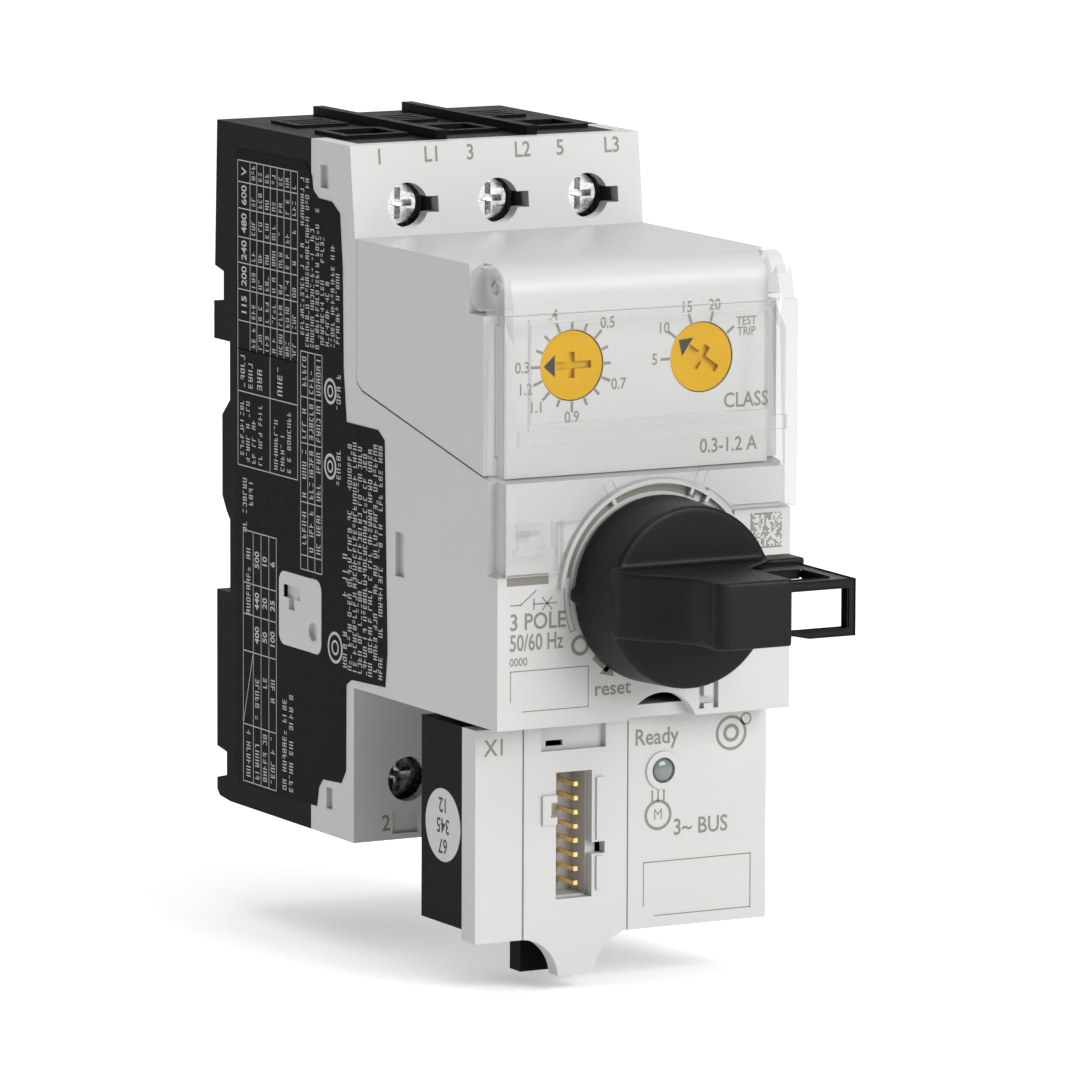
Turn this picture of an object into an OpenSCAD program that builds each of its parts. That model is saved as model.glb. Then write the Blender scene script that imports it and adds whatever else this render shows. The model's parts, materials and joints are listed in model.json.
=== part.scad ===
// Three-pole motor protection breaker with a plug-in electronic trip block,
// a hinged clear cover, a lockable rotary handle and a communication module.
// It clips on a 35 mm rail. X runs across the width, the operator is on the
// -Y side and Z is up. The origin is the middle of the rail seat.

/* [Body] */
// Width of the breaker
body_w = 45; // [44:0.5:54]
// Top face above the rail centre
top_z = 48.5; // [46:0.5:60]
// Bottom face below the rail centre
bottom_z = -47.4; // [-60:0.1:-46]
// Thickness of the housing walls
wall = 1.7; // [1.2:0.1:3]
// Plane where the black base meets the grey front housing
part_y = -24.9; // [-30:0.1:-20]
// Front plane of the handle field
front_y = -79.1; // [-90:0.1:-70]
// Lower edge of the handle field
front_low_z = -25.8; // [-30:0.1:-20]
// Upper edge of the trip block
block_top_z = 36; // [34:0.5:40]

/* [Poles and terminals] */
// Distance between two poles
pole_pitch = 14; // [12:0.5:18]
// Height of the line screws
line_screw_z = 40.1; // [38:0.1:42]
// Height of the load screws
load_screw_z = -39.1; // [-42:0.1:-38]
// Radius of a screwdriver hole
screw_hole_r = 3.1; // [2.5:0.1:4]
// Radius of a screw head
screw_head_r = 2.8; // [2:0.1:3.5]
// Radius of a screw shank
screw_r = 2; // [1.5:0.1:2.5]
// Contact gap with the handle at O
contact_gap = 4.1; // [3:0.1:6]

/* [Handle] */
// Handle axis across the width
knob_x = 1.5; // [-5:0.5:5]
// Handle axis height
knob_z = -8; // [-15:0.5:0]
// Handle radius at the housing
knob_r = 12.75; // [10:0.25:15]
// Front face of the handle disc
disc_y = -89.4; // [-95:0.1:-85]
// Height of the grip bar across the disc
grip_h = 9; // [8:0.1:12]

/* [Trip block and cover] */
// Distance of a setting dial from the middle
dial_x = 9.9; // [8:0.1:12]
// Height of the setting dials
dial_z = 22.35; // [18:0.1:26]
// Radius of a setting dial
dial_r = 4.65; // [3:0.1:6]
// Angle of the class dial from its first mark
class_turn = 35.5; // [0:0.5:140]
// Depth position of the cover hinge
hinge_y = -74.1; // [-78:0.1:-70]
// Height of the cover hinge
hinge_z = 33; // [30:0.1:34]
// Thickness of the clear cover
cover_t = 1.2; // [0.8:0.1:2]
// Front face of the clear cover
cover_y = -80.6; // [-84:0.1:-79.5]

/* [Communication module] */
// Front face of the module
mod_front_y = -73; // [-76:0.1:-70]
// Rear face of the module
mod_back_y = -57.4; // [-60:0.1:-50]
// Upper face of the module
mod_top_z = -26.6; // [-30:0.1:-26]
// Lower face of the module
mod_low_z = -55.6; // [-60:0.1:-50]

/* [Hidden] */
$fn = 48;
eps = 0.01;
cut = 5;
gap = 0.1;
side_x = body_w / 2 - 0.1;
label_t = 0.1;
in_x = side_x - wall;
poles = [-pole_pitch, 0, pole_pitch];
part_wall = 1.2;
pole_wall_x = [-pole_pitch / 2, pole_pitch / 2];

// Rail seat and base
rail_half = 17.7;
seat_y = 0;
base_back_y = -2.2;
base_in_top = 45.1;
base_in_low = -45.4;
insert_z = 46.9;
insert_x = 19.9;
insert_y0 = -34;
insert_y1 = 3;
rib_top_z = 49.8;
latch_x = 8;
rear_screw_x = 18.4;
screw_rows = [31, -34];
spring_z0 = -32.7;
spring_len = 12.8;

// Terminals
term_front_y = -36.4;
term_low_front_y = -37.7;
cage_x = 5.2;
cage_half_z = 4.7;
cage_front_y = -31.3;
cage_back_y = -18.8;
cage_t = 1.4;
bar_t = 1.5;
tongue_y = -28.7;
wire_x = 3.7;
wire_y0 = -27;
wire_y1 = -20.4;

// Contacts
bar_x = 3.5;
bar_back_y = -5.5;
fixed_tip_y = -8;
tip_z = 10;
bridge_y = fixed_tip_y - contact_gap;
carrier_y = -17;

// Handle
knob_back_y = -79.7;
ring_r = 14.8;
knob_front_r = 12.3;
grip_top_z = knob_z + grip_h / 2;
grip_low_z = knob_z - grip_h / 2;
grip_front_y = -106.9;
slide_front = -106.2;
slide_h = 7.7;
slide_x0 = 6.9;
slide_x1 = 16.9;
slide_tail = 1.5;
shaft_r = 3;

// Trip block
block_y0 = -75;
block_y1 = -38.5;
panel_y = -76.6;
// Dial faces sit just inside the panel; their slots are cut 0.65 deep
dial_face_y = panel_y + 0.2;
dial_slot_y = dial_face_y + 0.65;
panel_x = 20.1;
ear_r = 3;
plunger_z = 25;

// Module
seam_y = -69.2;
slot_x0 = -10.1;
slot_x1 = -4.6;
slot_z0 = -50.5;
slot_z1 = -33.2;
pin_x = -6.7;
pin_z0 = -48.6;
pin_pitch = 1.93;
led_x = 6.3;
led_z = -34.1;

// One node name, or all

// ---------- helpers ----------

// Box between two corners.
module box(lo, hi) {
  translate(lo) cube(hi - lo);
}

// Outline in Y and Z, drawn from x0 to x1.
module side_slab(x0, x1, points) {
  translate([x0, 0, 0]) rotate([90, 0, 90]) linear_extrude(x1 - x0) polygon(points);
}

// Outline in X and Z, drawn from y0 to y1.
module front_slab(y0, y1) {
  translate([0, y1, 0]) rotate([90, 0, 0]) linear_extrude(y1 - y0) children();
}

// Outline in X and Y, drawn from z0 to z1.
module top_slab(z0, z1, points) {
  translate([0, 0, z0]) linear_extrude(z1 - z0) polygon(points);
}

// Round bar along Y.
module ycyl(x, z, r, y0, y1) {
  translate([x, y0, z]) rotate([-90, 0, 0]) cylinder(h = y1 - y0, r = r);
}

// Round bar along X.
module xcyl(y, z, r, x0, x1) {
  translate([x0, y, z]) rotate([0, 90, 0]) cylinder(h = x1 - x0, r = r);
}

// Helical spring of rectangular wire, standing on Z = 0.
module coil(r, wire, turns, length) {
  sweep = 360 * wire * turns / length;
  steps = 4;
  turn = [for (i = [0:steps]) [cos(sweep * i / steps), sin(sweep * i / steps)]];
  linear_extrude(height = length, twist = -360 * turns, slices = turns * 12, $fn = 6)
    polygon(concat([for (i = [0:steps]) (r + wire / 2) * turn[i]],
                   [for (i = [steps:-1:0]) (r - wire / 2) * turn[i]]));
}

// ---------- base on the rail ----------

base_outline = [[3.9, top_z], [4.6, 28], [1.9, 27.4], [1.9, 23.4], [4.9, 23], [4.9, rail_half],
                [seat_y, rail_half], [seat_y, 9.5], [2.4, 7.2], [2.4, -4.2], [1.1, -6.2],
                [seat_y, -7.4], [seat_y, -rail_half], [4.1, -rail_half], [4.1, -40], [1.1, -40.5],
                [1.1, -43.8], [4.1, -44.5], [4.1, -46.2], [3.3, -47], [0, bottom_z],
                [part_y, bottom_z], [part_y, top_z]];

module wire_holes(z0, z1) {
  for (x = poles)
    box([x - wire_x, wire_y0, z0], [x + wire_x, wire_y1, z1]);
}

module base_housing() {
  color([0.11, 0.10, 0.10])
  union() {
    difference() {
      union() {
        difference() {
          side_slab(-side_x, side_x, base_outline);
          box([-in_x, part_y - cut, base_in_low], [in_x, base_back_y, base_in_top]);
        }
        // Pole walls, open where the contact carrier crosses them
        for (x = pole_wall_x)
          difference() {
            box([x - part_wall / 2, part_y, base_in_low - eps],
                [x + part_wall / 2, base_back_y + eps, base_in_top + eps]);
            box([x - part_wall, part_y - cut, -6.6], [x + part_wall, -12.4, 6.6]);
          }
        // Fixed upper hook behind the rail edge
        box([-15, 1.3, 15.4], [15, 4, rail_half + eps]);
      }
      // Seat of the top insert
      box([-insert_x - gap, part_y - cut, insert_z], [insert_x + gap, insert_y1 + gap, top_z + cut]);
      wire_holes(base_in_top - 1, top_z + cut);
      wire_holes(bottom_z - cut, base_in_low + 1);
      // Channel and grooves of the rail latch
      box([-latch_x - gap, -1.1, bottom_z - cut], [latch_x + gap, 6, -15]);
      box([-latch_x - 1.6, -0.8, bottom_z - cut], [latch_x + 1.6, 1, -18.5]);
      // Counterbores of the rear screws
      for (s = [-1, 1])
        for (z = screw_rows) {
          ycyl(s * rear_screw_x, z, 1.2, base_back_y - 1, 6);
          ycyl(s * rear_screw_x, z, 2.2, 2.6, 6);
        }
      port_pocket();
      // Slots in the left and right walls
      for (s = [-1, 1])
        for (z = [34, 38, -30])
          box([s * side_x - 0.5, -8, z], [s * side_x + 0.5, -2, z + 1.5]);
    }
    // Stop that the latch spring stands on
    box([-2.4, -1.2, -33.4], [2.4, 1.6, -32.8]);
  }
}

// Pocket behind the port cover in the left wall.
module port_pocket() {
  box([-side_x - 1, -26.7, -21.3], [-side_x + 0.9, -16.7, -13.8]);
}

module top_insert() {
  color([0.12, 0.11, 0.11])
  difference() {
    union() {
      box([-insert_x, insert_y0, insert_z], [insert_x, insert_y1, top_z]);
      for (x = pole_wall_x)
        box([x - 0.8, insert_y0, top_z - eps], [x + 0.8, insert_y1, rib_top_z]);
      // Raised collar round each wire entry and a step behind it
      for (x = poles) {
        box([x - 5, -28.2, top_z - eps], [x + 5, -19.2, top_z + 0.5]);
        box([x - 4, -12, top_z - eps], [x + 4, -4, top_z + 0.4]);
      }
    }
    wire_holes(insert_z - cut, top_z + cut);
    // Vent slots over the arc chambers
    for (x = poles)
      for (i = [0:2])
        box([x - 3, -11 + 2.2 * i, insert_z - cut], [x + 3, -10 + 2.2 * i, top_z + cut]);
  }
}

module rail_latch() {
  color([0.55, 0.55, 0.53])
  difference() {
    union() {
      box([-latch_x, -0.9, -45.8], [latch_x, 3.6, -18.1]);
      box([-latch_x, 1.3, -18.2], [latch_x, 3.6, -15.4]);
      box([-latch_x - 1.4, -0.6, -45.8], [latch_x + 1.4, 0.8, -25]);
    }
    // Screwdriver pocket at the foot
    box([-2.5, -2, -44.4], [2.5, 6, -41.6]);
    // Spring pocket
    box([-2.9, -1.5, -33.6], [2.9, 2.6, spring_z0 + spring_len + 0.1]);
  }
}

module rail_latch_spring() {
  color([0.75, 0.75, 0.77])
  translate([0, 0.6, spring_z0]) coil(1.35, 0.5, 7, spring_len);
}

// ---------- grey front housing ----------

block_floor = [[block_y1, 16.4], [-39.9, 15.4], [-60, 11.1], [-77, 7.4]];

housing_outline = [[part_y, top_z], [term_front_y, top_z], [-37.9, block_top_z], [-38.4, block_top_z],
                   [-38.4, 16.4], [-39.9, 15.3], [-60, 11], [-77, 7.3], [front_y, 7.3],
                   [front_y, front_low_z], [term_low_front_y, front_low_z],
                   [term_low_front_y, bottom_z], [part_y, bottom_z]];

housing_cavity = [[part_y + cut, base_in_top], [term_front_y + wall, base_in_top], [-36.2, 34.3],
                  [-36.7, 15], [-38.5, 13.4], [-59.6, 9.2], [-76.6, 5.6], [front_y + wall, 5.6],
                  [front_y + wall, front_low_z + wall], [-36, front_low_z + wall],
                  [-36, base_in_low], [part_y + cut, base_in_low]];

// Grey shell over the whole front, cut into the front housing and the load hood.
module front_body() {
  difference() {
    union() {
      difference() {
        side_slab(-side_x, side_x, housing_outline);
        side_slab(-in_x, in_x, housing_cavity);
      }
      // Pole walls beside the terminals
      for (x = pole_wall_x) {
        box([x - part_wall / 2, -35.5, 30], [x + part_wall / 2, part_y - gap, base_in_top + eps]);
        box([x - part_wall / 2, -36.5, base_in_low - eps], [x + part_wall / 2, part_y - gap, -28]);
      }
      // Collar round the handle, with an outer ring over its upper half
      ycyl(knob_x, knob_z, 5.4, front_y - 0.4, front_y + 3);
      difference() {
        ycyl(knob_x, knob_z, ring_r, front_y - 0.9, front_y + eps);
        ycyl(knob_x, knob_z, ring_r - 0.6, front_y - 2, front_y + 1);
        box([-20, front_y - 2, -30], [20, front_y + 1, knob_z + 1]);
      }
      for (a = [-29, 22, 33])
        translate([knob_x, 0, knob_z]) rotate([0, a, 0])
          box([-0.25, front_y - 0.9, knob_r + 0.6], [0.25, front_y + eps, ring_r - 0.3]);
    }
    // Rebates of the cover skirts
    box([-side_x - 1, front_y - 1, -5.2], [1.25 - side_x, -76.3, 8]);
    box([side_x - 1.25, front_y - 1, 1.8], [side_x + 1, -76.3, 8]);
    // Seat of the top insert
    box([-insert_x - gap, insert_y0 - gap, insert_z], [insert_x + gap, part_y + cut, top_z + cut]);
    wire_holes(base_in_top - 1, top_z + cut);
    wire_holes(bottom_z - cut, base_in_low + 1);
    // Screwdriver holes
    for (x = poles) {
      ycyl(x, line_screw_z, screw_hole_r, -40, -33);
      ycyl(x, load_screw_z, screw_hole_r, -40, -35);
      box([x + 1.6, -40, line_screw_z - 1.1], [x + 4.7, -33, line_screw_z + 1.1]);
      box([x + 1.6, -40, load_screw_z - 1.1], [x + 4.7, -35, load_screw_z + 1.1]);
    }
    // Handle shaft
    ycyl(knob_x, knob_z, shaft_r + 0.3, front_y - cut, front_y + cut);
    // Arch under the handle
    ycyl(2.7, -27.9, 5.6, front_y - 1, front_y + wall + 0.2);
    // Grooves beside the arch
    box([8.4, front_y - 1, -25], [9.2, front_y + 0.8, -20]);
    box([10.6, front_y - 1, -25], [11.4, front_y + 0.8, -19.4]);
    box([8.4, front_y - 1, -24.3], [11.4, front_y + 0.8, -23.3]);
    // Step of the plate on the right
    box([13.5, front_y - 1, 1.6], [side_x + 1, front_y + 0.6, 2.4]);
    box([13.3, front_y - 1, -6], [13.7, front_y + 0.4, 2.4]);
    // Slots of the module tabs
    for (s = [-1, 1])
      box([s * 15 - 3.2, -68.2, front_low_z - 1], [s * 15 + 3.2, -64.8, front_low_z + wall + 1]);
    // Passage of the trip plunger and the block plug
    ycyl(0, plunger_z, 2, -42, -34);
    box([11.8, -40, 20], [20.2, -34, 31]);
    // Window of the lower terminal mark
    box([-16.4, -39, -46.6], [-12.4, -37.2, -43.6]);
    port_pocket();
    // Slots in the left and right walls
    for (s = [-1, 1]) {
      box([s * side_x - 0.7, -30, 42], [s * side_x + 0.7, -27.7, 45.2]);
      box([s * side_x - 0.7, -31.3, -43.8], [s * side_x + 0.7, -29.5, -40.8]);
      box([s * side_x - 0.7, -52.4, -8.7], [s * side_x + 0.7, -49.9, -2.6]);
    }
  }
}

// Room below the handle field that belongs to the load hood.
module hood_room(z) {
  box([-body_w, -60, bottom_z - cut], [body_w, part_y + cut, z]);
}

module front_housing() {
  color([0.80, 0.80, 0.79])
  difference() {
    front_body();
    hood_room(front_low_z);
  }
}

// Lower hood with the screwdriver holes and wire entries of the load side.
module load_hood() {
  color([0.80, 0.80, 0.79])
  intersection() {
    front_body();
    hood_room(front_low_z - 0.02);
  }
}

// Glossy label on the left wall, with a round-cornered window.
label_outline = [[-2.1, 45], [-23.3, 45.2], [-25.2, 43.4], [-25.5, 41.5], [-27.1, 40.5], [-31.1, 40.4],
                 [-33.5, 39], [-34.3, 31.6], [-34.6, 17.7], [-35.5, 10.6], [-44.8, 10.6], [-46.7, 9.4],
                 [-47.2, -6.9], [-47.6, -19.5], [-47, -24.4], [-37, -24.8], [-35.5, -25.7],
                 [-35.4, -37.7], [-34, -39.6], [-28.5, -39.9], [-27.3, -41.2], [-26.7, -43.9],
                 [-3.5, -44.4], [-1.7, -42.6]];

module side_label() {
  color([0.06, 0.06, 0.06])
  difference() {
    side_slab(-body_w / 2, -side_x, label_outline);
    box([-body_w, -28.2, -22.8], [0, -15.2, -12.3]);
  }
}

// Grey port cover that fills the label's window.
module side_port() {
  y0 = -28.1;
  y1 = -15.3;
  z0 = -22.7;
  z1 = -12.4;
  r = 1.6;
  color([0.74, 0.73, 0.71])
  difference() {
    union() {
      box([-body_w / 2, y0 + r, z0], [-side_x - 0.01, y1 - r, z1]);
      box([-body_w / 2, y0, z0 + r], [-side_x - 0.01, y1, z1 - r]);
      for (y = [y0 + r, y1 - r])
        for (z = [z0 + r, z1 - r])
          xcyl(y, z, r, -body_w / 2, -side_x - 0.01);
      box([-side_x - 0.02, y0 + 1.5, z0 + 1.5], [-side_x + 0.8, y1 - 1.5, z1 - 1.5]);
    }
    // T-shaped key slot and round hole
    box([-body_w, -21.7, -16], [-side_x + 0.5, -16.7, -14.2]);
    box([-body_w, -20.1, -17.6], [-side_x + 0.5, -18.3, -15.9]);
    xcyl(-25.6, -19.8, 1.3, -body_w, -side_x + 0.5);
  }
}

module housing_screws() {
  color([0.72, 0.72, 0.70])
  for (s = [-1, 1])
    for (z = screw_rows)
      difference() {
        union() {
          ycyl(s * rear_screw_x, z, 1.9, 2.7, 3.7);
          ycyl(s * rear_screw_x, z, 1.1, -1.5, 2.7 + eps);
        }
        box([s * rear_screw_x - 1.3, 3.2, z - 0.25], [s * rear_screw_x + 1.3, 5, z + 0.25]);
        box([s * rear_screw_x - 0.25, 3.2, z - 1.3], [s * rear_screw_x + 0.25, 5, z + 1.3]);
      }
}

// ---------- current path ----------

// Bent copper bar from a terminal tongue to a fixed contact, for m = 1 or -1.
module busbar(m, screw_z) {
  low_z = 8.2;
  run_z = 31;
  mirror([0, 0, m > 0 ? 0 : 1]) {
    box([-bar_x, tongue_y, run_z], [bar_x, tongue_y + bar_t, screw_z + 3.8]);
    box([-bar_x, tongue_y, run_z], [bar_x, bar_back_y, run_z + bar_t]);
    box([-bar_x, bar_back_y - bar_t, low_z], [bar_x, bar_back_y, run_z + bar_t]);
    ycyl(0, tip_z, 1.6, fixed_tip_y, bar_back_y - bar_t + eps);
  }
}

module line_busbars() {
  color([0.80, 0.47, 0.28])
  for (x = poles)
    translate([x, 0, 0]) busbar(1, line_screw_z);
}

module load_busbars() {
  color([0.80, 0.47, 0.28])
  for (x = poles)
    translate([x, 0, 0]) busbar(-1, -load_screw_z);
}

// Cage clamp round a terminal tongue.
module cage() {
  difference() {
    box([-cage_x, cage_front_y, -cage_half_z], [cage_x, cage_back_y, cage_half_z]);
    box([-cage_x + cage_t, cage_front_y + cage_t, -cut], [cage_x - cage_t, cage_back_y - cage_t, cut]);
    ycyl(0, 0, screw_r + 0.06, cage_front_y - 1, cage_front_y + cage_t + 1);
  }
}

module line_clamps() {
  color([0.70, 0.70, 0.72])
  for (x = poles)
    translate([x, 0, line_screw_z]) cage();
}

module load_clamps() {
  color([0.70, 0.70, 0.72])
  for (x = poles)
    translate([x, 0, load_screw_z]) cage();
}

// Terminal screw with a cross slot; its tip rests on the tongue.
module screw() {
  color([0.72, 0.73, 0.72])
  difference() {
    union() {
      ycyl(0, 0, screw_head_r, -34.2, -31.7);
      ycyl(0, 0, screw_r, -31.7 - eps, tongue_y - 0.2);
    }
    box([-2.2, -35, -0.45], [2.2, -32.7, 0.45]);
    box([-0.45, -35, -2.2], [0.45, -32.7, 2.2]);
  }
}

module line_screw(i) {
  translate([poles[i], 0, line_screw_z]) screw();
}

module load_screw(i) {
  translate([poles[i], 0, load_screw_z]) screw();
}

// Stack of splitter plates between two fibre cheeks.
module arc_chute() {
  for (i = [0:5])
    box([-5.2, -22.5 + 2.4 * i, 13.8], [5.2, -21.6 + 2.4 * i, 25.3]);
  for (s = [-1, 1])
    box([s * 5.6 - 0.4, -22.9, 14.4], [s * 5.6 + 0.4, -9.2, 24.7]);
}

module arc_chutes() {
  color([0.52, 0.50, 0.48])
  for (x = poles)
    for (m = [0, 1])
      translate([x, 0, 0]) mirror([0, 0, m]) arc_chute();
}

// Moulded carrier: a crossbar over the three poles and a stem to the mechanism.
module contact_carrier() {
  color([0.24, 0.22, 0.20])
  union() {
    box([-19, -23, -5.5], [19, carrier_y, 5.5]);
    box([knob_x - 4, -42, -12], [knob_x + 4, -22.9, -3]);
    for (x = poles) {
      for (s = [-1, 1])
        box([x + s * 4.4 - 0.5, carrier_y - eps, -2.5], [x + s * 4.4 + 0.5, bridge_y + 1.2, 2.5]);
      box([x - 4.9, bridge_y + 0.1, -2.5], [x + 4.9, bridge_y + 1.2, 2.5]);
    }
  }
}

module moving_contacts() {
  color([0.85, 0.78, 0.70])
  for (x = poles) {
    box([x - 3.4, bridge_y - 2, -12], [x + 3.4, bridge_y - 1, 12]);
    box([x - 2.4, bridge_y - 1.01, -2.4], [x + 2.4, bridge_y, 2.4]);
    for (s = [-1, 1])
      ycyl(x, s * tip_z, 1.6, bridge_y - 1 - eps, bridge_y);
  }
}

module contact_springs() {
  color([0.78, 0.78, 0.80])
  for (x = poles)
    translate([x, carrier_y + 0.02, 0]) rotate([-90, 0, 0]) coil(2, 0.45, 4, bridge_y - 2.04 - carrier_y);
}

module current_transformers() {
  color([0.35, 0.20, 0.12])
  for (x = poles)
    difference() {
      ycyl(x, -31.75, 5.9, -17.8, -10.5);
      ycyl(x, -31.75, 4.3, -18.8, -9);
    }
}

// Two steel cheeks joined by three pins round the handle shaft.
module mechanism_frame() {
  color([0.62, 0.63, 0.65])
  union() {
    for (s = [-1, 1])
      box([knob_x + s * 10 - 0.6, -60, -21], [knob_x + s * 10 + 0.6, -30, 4]);
    for (p = [[-34, 1.5], [-58, 1.5], [-58, -18.5]])
      xcyl(p[0], p[1], 1.2, knob_x - 10, knob_x + 10);
    difference() {
      box([knob_x - 10, -60, -16], [knob_x + 10, -58.6, 0]);
      ycyl(knob_x, knob_z, shaft_r + 0.3, -62, -56);
    }
  }
}

// ---------- rotary handle ----------

module knob() {
  color([0.17, 0.17, 0.18])
  difference() {
    union() {
      // Disc, slightly narrower at its front
      translate([knob_x, knob_back_y, knob_z]) rotate([90, 0, 0])
        cylinder(h = knob_back_y - disc_y, r1 = knob_r, r2 = knob_front_r, $fn = 96);
      // Pointer nose at the rim
      top_slab(knob_z - 0.9, knob_z + 0.9, [[knob_x - 13.5, knob_back_y], [knob_x - 13.3, -81.4],
               [knob_x - 12, -83.4], [knob_x - 12, knob_back_y]]);
      // Wing behind the lock slide
      box([knob_x + 9, -90.6, grip_top_z - 1.3], [18.2, -86.2, grip_top_z]);
      // Grip bar with a scooped thumb side
      difference() {
        top_slab(grip_low_z, grip_top_z, [[knob_x - 12, disc_y + 0.5], [knob_x - 12, -91], [-4.7, -104.8],
                 [-3.8, -106.4], [-2.6, grip_front_y + 0.1], [slide_x0, grip_front_y],
                 [slide_x0, -95], [knob_x + 11, -90.6],
                 [knob_x + 11, disc_y + 0.5]]);
        translate([-14.6, -103.4, grip_low_z - 1]) cylinder(h = grip_h + 2, r = 10.4, $fn = 96);
      }
    }
    // Pocket of the lock slide, open to the right
    box([-2, slide_front - gap, knob_z - slide_h / 2 - gap],
        [slide_x1 + 5, -90.5, knob_z + slide_h / 2 + gap]);
    // Shaft socket
    ycyl(knob_x, knob_z, shaft_r, knob_back_y - 6, knob_back_y + 1);
  }
}

module knob_shaft() {
  color([0.70, 0.71, 0.72])
  union() {
    ycyl(knob_x, knob_z, shaft_r, knob_back_y - 6, -46);
    // Drive cam
    ycyl(knob_x, knob_z, 6.5, -47.5, -44.5);
    box([knob_x - 2, -47.5, knob_z], [knob_x + 2, -44.5, knob_z + 8.5]);
  }
}

// Padlock slide: a top plate with a shackle hole and a thin front frame.
module lock_slide() {
  top = knob_z + slide_h / 2;
  low = knob_z - slide_h / 2;
  front = slide_front;
  color([0.19, 0.19, 0.20])
  difference() {
    union() {
      top_slab(top - 1.3, top, [[slide_x0 - slide_tail, -90.7], [slide_x1 + 0.3, -90.7], [slide_x1, front],
               [slide_x0 - slide_tail, front]]);
      box([slide_x0 - slide_tail, front, low], [slide_x1, front + 2, top]);
    }
    // Shackle hole
    box([8.2, -103.4, top - 3], [14.2, -96, top + 1]);
    // Front window
    box([slide_x0 - 0.2, front - 1, low + 1.1], [slide_x1 - 1.3, front + 3, top - 1.3]);
    // Relief under the front frame
    front_slab(front - 1, front + 3)
      polygon([[slide_x0, low - 1], [slide_x1 - 2, low - 1], [slide_x0, low + 0.6]]);
  }
}

// ---------- trip block ----------

module trip_block_housing() {
  nose_r = 4;
  color([0.82, 0.82, 0.81])
  difference() {
    union() {
      side_slab(-side_x, side_x, [[block_y1, block_top_z], [-70.9, block_top_z], [-70.9, 29.4],
                [block_y0, 29.4], [block_y0, 8], [-60, 11.2], [-39.9, 15.6], [block_y1, 16.6]]);
      // Round nose between the cover ears
      side_slab(-panel_x, panel_x, [[-70, block_top_z], [panel_y + nose_r, block_top_z],
                [panel_y, block_top_z - nose_r], [panel_y, 29.4], [-70, 29.4]]);
      intersection() {
        xcyl(panel_y + nose_r, block_top_z - nose_r, nose_r, -panel_x, panel_x);
        box([-panel_x, -80, 29.4], [panel_x, -60, 40]);
      }
    }
    side_slab(-in_x, in_x, [[block_y1 - wall, block_top_z - wall], [-69, block_top_z - wall], [-69, 28.2],
              [block_y0 - cut, 28.2], [block_y0 - cut, 9.4], [-60, 12.9], [-41, 17],
              [block_y1 - wall, 18.4]]);
    // Pin holes of the cover
    xcyl(hinge_y, hinge_z, 1.1, -side_x - 1, -panel_x + 2);
    xcyl(hinge_y, hinge_z, 1.1, panel_x - 2, side_x + 1);
    // Passages of the plunger and the plug
    ycyl(0, plunger_z, 1.7, -42, -36);
    box([12.2, -42, 20.4], [19.8, -36, 30.6]);
  }
}

module trip_panel() {
  color([0.84, 0.84, 0.83])
  difference() {
    union() {
      side_slab(-panel_x, panel_x, [[panel_y, 29.35], [block_y0 - gap, 29.35], [block_y0 - gap, 8],
                [panel_y, 7.65]]);
      box([-in_x + gap, block_y0 - gap - eps, 10.6], [in_x - gap, block_y0 + 1.5, 28]);
    }
    for (s = [-1, 1])
      ycyl(s * dial_x, dial_z, dial_r + 0.15, panel_y - 2, block_y0 + 3);
  }
}

// Setting dial: face with a cross slot, turned clockwise, and a stem.
module dial(turn) {
  color([0.93, 0.72, 0.12])
  difference() {
    union() {
      ycyl(0, 0, dial_r, dial_face_y, -75.2);
      ycyl(0, 0, 1.8, -75.3, -70.9);
    }
    rotate([0, turn, 0]) {
      box([-2.3, dial_face_y - 1, -0.5], [3, dial_slot_y, 0.5]);
      box([-0.5, dial_face_y - 1, -1.75], [0.5, dial_slot_y, 1.75]);
    }
  }
}

module current_dial() {
  translate([-dial_x, 0, dial_z]) dial(0);
}

module class_dial() {
  translate([dial_x, 0, dial_z]) dial(class_turn);
}

module setting_potentiometers() {
  color([0.15, 0.20, 0.35])
  for (s = [-1, 1])
    difference() {
      box([s * dial_x - 4.2, -70.7, dial_z - 4.2], [s * dial_x + 4.2, -64.2, dial_z + 4.2]);
      ycyl(s * dial_x, dial_z, 2, -71, -68.5);
    }
}

module trip_circuit_board() {
  color([0.12, 0.36, 0.20])
  union() {
    box([-19.5, -64.1, 14.5], [19.5, -62.5, 33]);
    box([-15, -62.6, 17], [-8, -61, 24]);
    box([4, -62.6, 24], [9, -60.8, 29]);
    box([12, -62.6, 17], [17, -58.5, 21]);
    for (i = [0:4])
      box([-16 + 2.6 * i, -62.6, 27], [-14.8 + 2.6 * i, -61.6, 29.2]);
  }
}

module trip_magnet_frame() {
  color([0.60, 0.61, 0.62])
  difference() {
    box([-8, -58.5, 17.2], [8, -43.5, 33.6]);
    box([-9, -57, 18.4], [9, -45, 34]);
    ycyl(0, plunger_z, 2.9, -60, -42);
  }
}

module trip_magnet_coil() {
  color([0.72, 0.36, 0.16])
  difference() {
    union() {
      ycyl(0, plunger_z, 6.2, -56.8, -55.6);
      ycyl(0, plunger_z, 5.6, -55.7, -46.3);
      ycyl(0, plunger_z, 6.2, -46.4, -45.2);
    }
    ycyl(0, plunger_z, 2.7, -58, -44);
  }
}

module trip_plunger() {
  color([0.74, 0.75, 0.76])
  union() {
    ycyl(0, plunger_z, 2.4, -59.6, -43);
    ycyl(0, plunger_z, 1.3, -43.1, -40.6);
  }
}

module trip_block_plug() {
  color([0.14, 0.14, 0.15])
  union() {
    box([12.4, -44, 20.6], [19.6, -35.2, 30.4]);
    for (i = [0:3])
      box([13.2 + 1.7 * i, -35.3, 22], [13.8 + 1.7 * i, -32.5, 29]);
  }
}

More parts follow.
